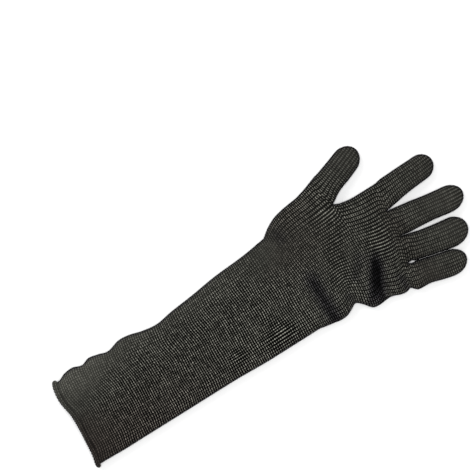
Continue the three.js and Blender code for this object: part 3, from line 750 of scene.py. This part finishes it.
def curled_hem(grid):
    """The hem before a grid's first ring: from the inner wall over the tucked edge and round the roll."""
    first, normal = grid["space"][0], grid["normal"][0]
    towards = unit(first - grid["space"][1])
    turn_round = np.arange(len(first)) / len(first) * 2 * math.pi
    radius = HEM_ROLL / 2 * (1 + CURL_UNEVEN * np.sin(CURL_WAVES * turn_round)[:, None])
    rings = []
    for angle in CURL_ANGLES[::-1]:
        reach = CURL_START - radius * (1 + math.cos(angle))
        proud = radius * (1 + math.sin(angle)) - WALL
        rings.append(first + towards * reach + normal * proud)
    inner = first - normal * WALL
    space = np.stack([inner] + rings + [first])
    angles = np.concatenate([CURL_ANGLES[-1:], CURL_ANGLES[::-1], CURL_ANGLES[:1]])
    arc = (angles - CURL_ANGLES[0]) * HEM_ROLL / 2 / SLEEVE_COURSE
    # painted shade in the groove and on the roll's outer side
    painted_shade = CURL_SHADE * smooth(CURL_SHADE_END - angles)
    painted_shade += CURL_RIM_SHADE * smooth(CURL_RIM_SHADE_START - np.cos(angles))
    curl = {
        "space": np.maximum(space, [-np.inf, -np.inf, 0]),
        "wale": np.broadcast_to(grid["wale"][0], space.shape[:2]),
        "course": np.broadcast_to(-arc[:, None], space.shape[:2]),
        "shade": np.broadcast_to(painted_shade[:, None], space.shape[:2]),
    }
    for key in ("relief", *TONE_KEYS):
        curl[key] = np.broadcast_to(grid[key][0], space.shape[:2])
    curl["normal"] = surface_normals(curl["space"])
    return curl


# The whole shell

hem_share = CURL_START / SLEEVE_LENGTH
sleeve_shares, sleeve_course = even_rows(SLEEVE_LENGTH - CURL_START, SLEEVE_COURSE)
heel_shares, heel_course = even_rows(THUMB_CROTCH, HEEL_COURSE)
knuckle_shares, knuckle_course = even_rows(HAND_LENGTH - THUMB_CROTCH, KNUCKLE_COURSE)
wrist_course = sleeve_course[-1]
thumb_course = wrist_course + heel_course[-1]
finger_course = thumb_course + knuckle_course[-1]

sleeve = make_grid(sleeve_lines(mix(hem_share, 1, sleeve_shares)), 0, 0, sleeve_course, hem=True)
heel = make_grid(heel_lines(heel_shares), 0, wrist_course, heel_course)
trunk = join_grids([sleeve, heel])
knuckles = make_grid(knuckle_lines(knuckle_shares), WALES, thumb_course, knuckle_course)
fingers = [finger_grid(i, finger_course if i else thumb_course) for i in range(len(FINGERS))]
shell = [trunk, knuckles, *fingers]
for grid in shell:
    grid["normal"] = surface_normals(grid["space"])
share_normals(shell)
curl = curled_hem(trunk)

plan_points = np.concatenate([grid["space"].reshape(-1, 3) for grid in [curl, *shell]])
plan_centre = (plan_points.min(axis=0) + plan_points.max(axis=0)) / 2
node_low, node_high = (np.array(corner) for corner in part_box("knit_shell"))
node_centre = (node_low + node_high) / 2
SHIFT = node_centre[:2] - plan_centre[:2] * MM


def in_metres(points):
    """Points moved from the glove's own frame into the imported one."""
    placed = points * MM
    placed[..., :2] += SHIFT
    return placed


class Piece:
    """Vertices, faces and knit values of one mesh."""

    def __init__(self):
        self.points = []
        self.values = []
        self.faces = []
        self.count = 0

    def add(self, points, grid):
        """Adds points with the knit values of the grid, and gives their numbers."""
        shape = points.shape[:-1]
        start = self.count
        self.count += math.prod(shape)
        self.points.append(points.reshape(-1, 3))
        self.values.append(np.stack([grid[key].ravel() for key in VALUE_KEYS], axis=1))
        return np.arange(start, self.count).reshape(shape)

    def skin(self, rings):
        """Quads between rings of vertex numbers, closed round each ring."""
        a, b = rings[:-1], rings[1:]
        quads = np.stack([a, np.roll(a, -1, axis=1), np.roll(b, -1, axis=1), b], axis=-1)
        self.faces.append(quads.reshape(-1, 4))

    def close(self, ring, pole, grid):
        """Closes a ring with a fan to its pole."""
        tip = self.add(pole[None, :], {key: grid[key][-1, :1] for key in VALUE_KEYS})[0]
        after = np.roll(ring, -1)
        self.faces.append(np.stack([ring, after, np.full_like(ring, tip)], axis=-1))

    def build(self, name, material):
        """Makes the mesh, attaches it to what it moves with and hides the imported shell."""
        points = in_metres(np.concatenate(self.points))
        values = np.concatenate(self.values)
        corners = np.concatenate([f.ravel() for f in self.faces]).astype(np.int32)
        sizes = np.concatenate([np.full(len(f), f.shape[1]) for f in self.faces]).astype(np.int32)
        starts = np.concatenate([[0], np.cumsum(sizes)[:-1]]).astype(np.int32)
        mesh = bpy.data.meshes.new(name)
        mesh.vertices.add(len(points))
        mesh.vertices.foreach_set("co", points.astype(np.float32).ravel())
        mesh.loops.add(len(corners))
        mesh.loops.foreach_set("vertex_index", corners)
        mesh.polygons.add(len(sizes))
        mesh.polygons.foreach_set("loop_start", starts)
        mesh.update(calc_edges=True)
        mesh.validate()
        split = len(KNIT_KEYS)
        for key, part in (("knit", values[:, :split]), ("tone", values[:, split:])):
            attribute = mesh.attributes.new(key, "FLOAT_VECTOR", "POINT")
            attribute.data.foreach_set("vector", part.astype(np.float32).ravel())
        mesh.shade_smooth()
        piece = bpy.data.objects.new(name, mesh)
        bpy.context.scene.collection.objects.link(piece)
        mesh.materials.append(material)
        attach(piece, "root")
        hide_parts("knit_shell")


# Material

class Shading:
    """Short ways to add nodes to a material."""

    def __init__(self, name):
        self.material = bpy.data.materials.new(name)
        self.material.use_nodes = True
        self.nodes = self.material.node_tree.nodes
        self.links = self.material.node_tree.links
        self.shader = self.nodes["Principled BSDF"]
        self.place = self.nodes.new("ShaderNodeTexCoord").outputs["Object"]

    def feed(self, socket, value):
        if hasattr(value, "node"):
            self.links.new(value, socket)
        else:
            socket.default_value = value

    def calculate(self, operation, *values):
        node = self.nodes.new("ShaderNodeMath")
        node.operation = operation
        for socket, value in zip(node.inputs, values):
            self.feed(socket, value)
        return node.outputs[0]

    def times(self, a, b):
        return self.calculate("MULTIPLY", a, b)

    def minus(self, a, b):
        return self.calculate("SUBTRACT", a, b)

    def above_nought(self, value):
        return self.calculate("MAXIMUM", value, 0.0)

    def held(self, value):
        """The value, held between 0 and 1."""
        return self.calculate("MINIMUM", self.above_nought(value), 1.0)

    def blend(self, factor, a, b):
        """From a to b, along the factor."""
        return self.calculate("MULTIPLY_ADD", factor, self.minus(b, a), a)

    def steps(self, value, low, high):
        """A soft step from 0 at low to 1 at high."""
        node = self.nodes.new("ShaderNodeMapRange")
        node.interpolation_type = "SMOOTHSTEP"
        for socket, amount in zip(node.inputs, (value, low, high)):
            self.feed(socket, amount)
        return node.outputs[0]

    def noise(self, scale, detail):
        node = self.nodes.new("ShaderNodeTexNoise")
        node.inputs["Scale"].default_value = scale
        node.inputs["Detail"].default_value = detail
        self.links.new(self.place, node.inputs["Vector"])
        return node.outputs[0]

    def stitch(self, wale, place):
        """A chance value for each stitch."""
        cell = self.nodes.new("ShaderNodeCombineXYZ")
        self.links.new(self.calculate("FLOOR", wale), cell.inputs[0])
        self.links.new(self.calculate("FLOOR", place), cell.inputs[1])
        chance = self.nodes.new("ShaderNodeTexWhiteNoise")
        chance.noise_dimensions = "2D"
        self.links.new(cell.outputs[0], chance.inputs["Vector"])
        return chance.outputs["Value"]

    def attribute(self, name):
        node = self.nodes.new("ShaderNodeAttribute")
        node.attribute_name = name
        parts = self.nodes.new("ShaderNodeSeparateXYZ")
        self.links.new(node.outputs["Vector"], parts.inputs[0])
        return parts.outputs

    def colour_between(self, factor, a, b):
        node = self.nodes.new("ShaderNodeMix")
        node.data_type = "RGBA"
        for name, value in (("Factor_Float", factor), ("A_Color", a), ("B_Color", b)):
            self.feed(next(s for s in node.inputs if s.identifier == name), value)
        return next(s for s in node.outputs if s.identifier == "Result_Color")

    def scaled(self, colour, factor):
        node = self.nodes.new("ShaderNodeVectorMath")
        node.operation = "SCALE"
        self.links.new(colour, node.inputs[0])
        self.feed(node.inputs["Scale"], factor)
        return node.outputs[0]


def yarn_height(knit, off, place, ridge):
    """The stitches' heights, as in the mesh but finer."""
    leg = knit.calculate("DIVIDE", knit.minus(off, LEG_PLACE), LEG_REACH)
    leg = knit.calculate("SQRT", knit.above_nought(knit.minus(1.0, knit.times(leg, leg))))
    broad = knit.calculate("COSINE", knit.times(off, math.pi))
    broad = knit.calculate("POWER", knit.above_nought(broad), RIDGE_SHARPNESS)
    rows = knit.held(knit.minus(0.0, ridge))
    stretch = knit.held(ridge)
    leg = knit.blend(stretch, knit.blend(rows, leg, ROW_FLOOR), broad)
    crown = knit.calculate("SINE", knit.times(knit.calculate("FRACT", place), math.pi))
    crown = knit.calculate("POWER", knit.above_nought(crown), CROWN_SHARPNESS)
    floor = knit.blend(stretch, COURSE_FLOOR, RIDGE_FLOOR)
    return knit.times(leg, knit.blend(crown, floor, 1.0))


def yarn_light(knit, yarn, fuzz):
    """Painted shade in the gaps and lighter crowns, which come closer to each other where the knit is
    fuzzy.
    """
    speckle = knit.minus(knit.noise(*SPECKLE_NOISE), 0.5)
    ends = (knit.blend(fuzz, *pair) for pair in zip(CROWN_RANGE, FUZZY_RANGE))
    lit = knit.steps(knit.calculate("MULTIPLY_ADD", speckle, YARN_SPECKLE, yarn), *ends)
    clear = knit.minus(1.0, fuzz)
    gap = knit.blend(fuzz, *GAP_LIGHT)
    crown = knit.blend(knit.times(clear, clear), *reversed(CROWN_LIGHT))
    return knit.blend(lit, gap, crown)


def add_bump(knit, yarn):
    """The yarn's relief and its fibres, as bumps."""
    bump = knit.nodes.new("ShaderNodeBump")
    bump.inputs["Strength"].default_value = BUMP_STRENGTH
    bump.inputs["Distance"].default_value = BUMP_DEPTH * MM
    fibres = knit.calculate("MULTIPLY_ADD", knit.noise(*FIBRE_NOISE), FIBRE_HEIGHT, yarn)
    knit.links.new(fibres, bump.inputs["Height"])
    knit.links.new(bump.outputs[0], knit.shader.inputs["Normal"])


def knit_material():
    knit = Shading("charcoal_knit")
    wale, course, shade = knit.attribute("knit")
    fuzz, dim, ridge = knit.attribute("tone")
    off = knit.calculate("ABSOLUTE", knit.minus(knit.calculate("FRACT", wale), 0.5))
    place = knit.minus(course, knit.times(off, LEG_SLANT))
    drift = knit.minus(knit.noise(*DRIFT_NOISE), 0.5)
    ridge = knit.calculate("MULTIPLY_ADD", drift, RIDGE_DRIFT, ridge)
    yarn = yarn_height(knit, off, place, ridge)

    chance = knit.blend(knit.stitch(wale, place), *STITCH_LIGHT)
    light = yarn_light(knit, yarn, fuzz)
    for factor in (
        knit.blend(knit.times(fuzz, FUZZY_EVENNESS), chance, 1.0),
        knit.blend(knit.noise(*MOTTLE_NOISE), *MOTTLE),
        knit.blend(knit.held(ridge), 1.0, RIDGE_LIGHT),
        # painted shade darkens the yarn
        knit.blend(shade, 1.0, DEEPEST_SHADE),
        knit.blend(dim, 1.0, DIMMED),
    ):
        light = knit.times(light, factor)
    hue = knit.colour_between(knit.above_nought(dim), GREY_HUE, BROWN_HUE)
    # painted shade tints the colour
    hue = knit.colour_between(shade, hue, PAINTED_SHADE_HUE)
    knit.links.new(knit.scaled(hue, light), knit.shader.inputs["Base Color"])
    knit.shader.inputs["Roughness"].default_value = YARN_ROUGHNESS
    knit.shader.inputs["Specular IOR Level"].default_value = YARN_GLOSS
    add_bump(knit, yarn)
    return knit.material


KNIT = knit_material()


def build_outer(name, grids):
    """A piece over grids, each with its stitches, closed at its pole where it has one."""
    piece = Piece()
    for grid in grids:
        rings = piece.add(knitted(grid), grid)
        piece.skin(rings)
        if "pole" in grid:
            piece.close(rings[-1], grid["pole"], grid)
    piece.build(name, KNIT)


def part_of_grid(grid, start, stop):
    return {key: grid[key][start:stop] for key in ("space", "normal", "relief", *VALUE_KEYS)}


def build_inner(name, grids):
    """The purl side inside the glove, a wall's thickness in, with one column and row a stitch."""
    piece = Piece()
    for grid in grids:
        last = len(grid["space"]) - 1 - (SMOOTH_TIP if "pole" in grid else 0)
        rows = np.unique(np.append(np.arange(0, last, ROWS), last))
        inner = (grid["space"] - grid["normal"] * WALL)[rows][:, ::COLUMNS]
        values = {key: grid[key][rows][:, ::COLUMNS] for key in VALUE_KEYS}
        rings = piece.add(inner, values)[:, ::-1]
        piece.skin(rings)
        if "pole" in grid:
            piece.close(rings[-1], grid["inner_pole"], values)
    piece.build(name, KNIT)


half = len(sleeve["space"]) // (2 * ROWS) * ROWS
wrist_row = len(sleeve["space"]) - 1
build_outer("hem_curl", [curl])
build_outer("sleeve_lower", [part_of_grid(trunk, 0, half + 1)])
build_outer("sleeve_upper", [part_of_grid(trunk, half, wrist_row + 1)])
build_outer("hand", [part_of_grid(trunk, wrist_row, None), knuckles])
for finger, grid in zip(FINGERS, fingers):
    build_outer(finger["name"] + "_knit", [grid])
build_inner("inner_side", shell)


# Floor, light and camera

def add_stage():
    bpy.ops.mesh.primitive_plane_add(size=FLOOR_SIZE, location=(0, 0, -FLOOR_DROP))
    floor = bpy.context.object
    floor.name = "floor"
    paper = bpy.data.materials.new("pale_floor")
    paper.use_nodes = True
    shader = paper.node_tree.nodes["Principled BSDF"]
    shader.inputs["Base Color"].default_value = FLOOR_COLOUR
    shader.inputs["Roughness"].default_value = FLOOR_ROUGHNESS
    floor.data.materials.append(paper)


def in_picture(right, up, height):
    """A point by its place in the photograph, in metres right of and above its middle."""
    x = CAMERA_CENTRE[0] * MM + right * IMAGE_RIGHT[0] + up * IMAGE_UP[0]
    y = CAMERA_CENTRE[1] * MM + right * IMAGE_RIGHT[1] + up * IMAGE_UP[1]
    return Vector((x, y, height))


def add_light(name, place, size, power):
    lamp = bpy.data.lights.new(name, "AREA")
    lamp.shape = "DISK"
    lamp.size = size
    lamp.energy = power
    light = bpy.data.objects.new(name, lamp)
    light.location = in_picture(*place)
    aim = in_picture(0, 0, 0) - light.location
    light.rotation_euler = aim.to_track_quat("-Z", "Y").to_euler()
    bpy.context.scene.collection.objects.link(light)


def add_camera():
    data = bpy.data.cameras.new("camera")
    data.lens = LENS_MM
    data.sensor_width = SENSOR_MM
    camera = bpy.data.objects.new("camera", data)
    distance = IMAGE_MM * MM * LENS_MM / SENSOR_MM
    right = Vector((*IMAGE_RIGHT, 0)).normalized()
    up = Vector((*IMAGE_UP, 0)).normalized()
    turn = Matrix((right, up, Vector((0, 0, 1)))).transposed()
    place = in_picture(0, 0, distance + EDGE_HEIGHT * MM)
    camera.matrix_world = Matrix.Translation(place) @ turn.to_4x4()
    bpy.context.scene.collection.objects.link(camera)
    bpy.context.scene.camera = camera


def add_world():
    world = bpy.data.worlds.new("studio")
    world.use_nodes = True
    background = world.node_tree.nodes["Background"]
    background.inputs["Color"].default_value = SKY_COLOUR
    background.inputs["Strength"].default_value = SKY_LIGHT
    bpy.context.scene.world = world


add_stage()
add_world()
for light in LIGHTS:
    add_light(**light)
add_camera()
bpy.context.scene.view_settings.view_transform = "Standard"
